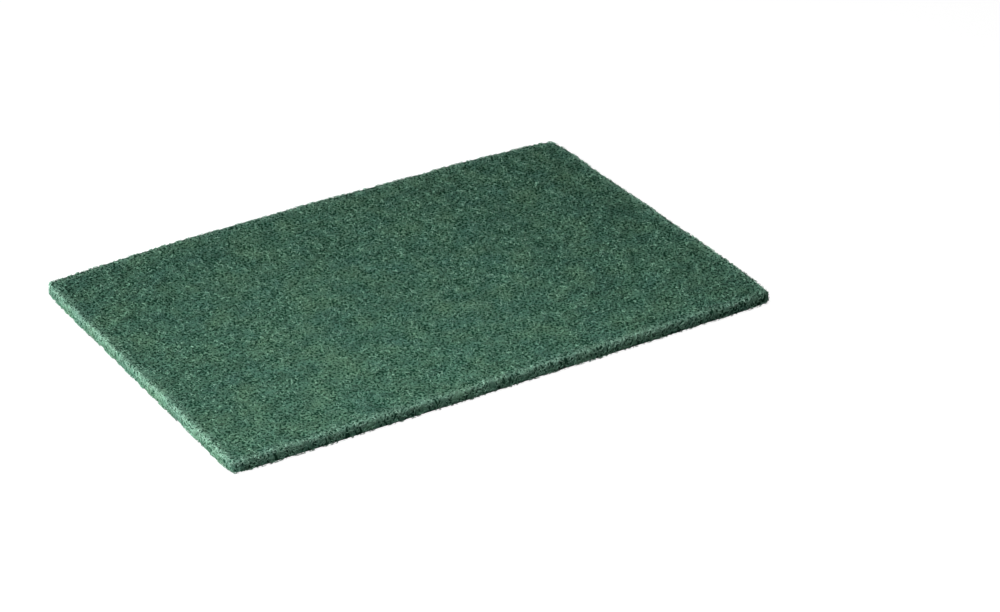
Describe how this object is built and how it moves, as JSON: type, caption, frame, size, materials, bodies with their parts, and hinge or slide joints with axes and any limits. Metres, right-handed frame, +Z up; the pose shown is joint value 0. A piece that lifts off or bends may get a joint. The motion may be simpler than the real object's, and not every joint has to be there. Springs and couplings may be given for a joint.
{
  "type": "scouring pad",
  "caption": "Flat rectangular scouring pad of green non-woven abrasive fibre, for scrubbing by hand.",
  "frame": {"origin": "centre of the pad's box, at the level of its flat underside", "axes": "+X along the long side, +Y along the short side, +Z up through the thickness"},
  "size_m": [0.2288, 0.1548, 0.0063],
  "materials": {
    "green_fibre": "matt non-woven synthetic fibre, dark green, open web with small dark pores"
  },
  "bodies": {
    "root": {"scouring_pad": "green_fibre"}
  },
  "joints": []
}
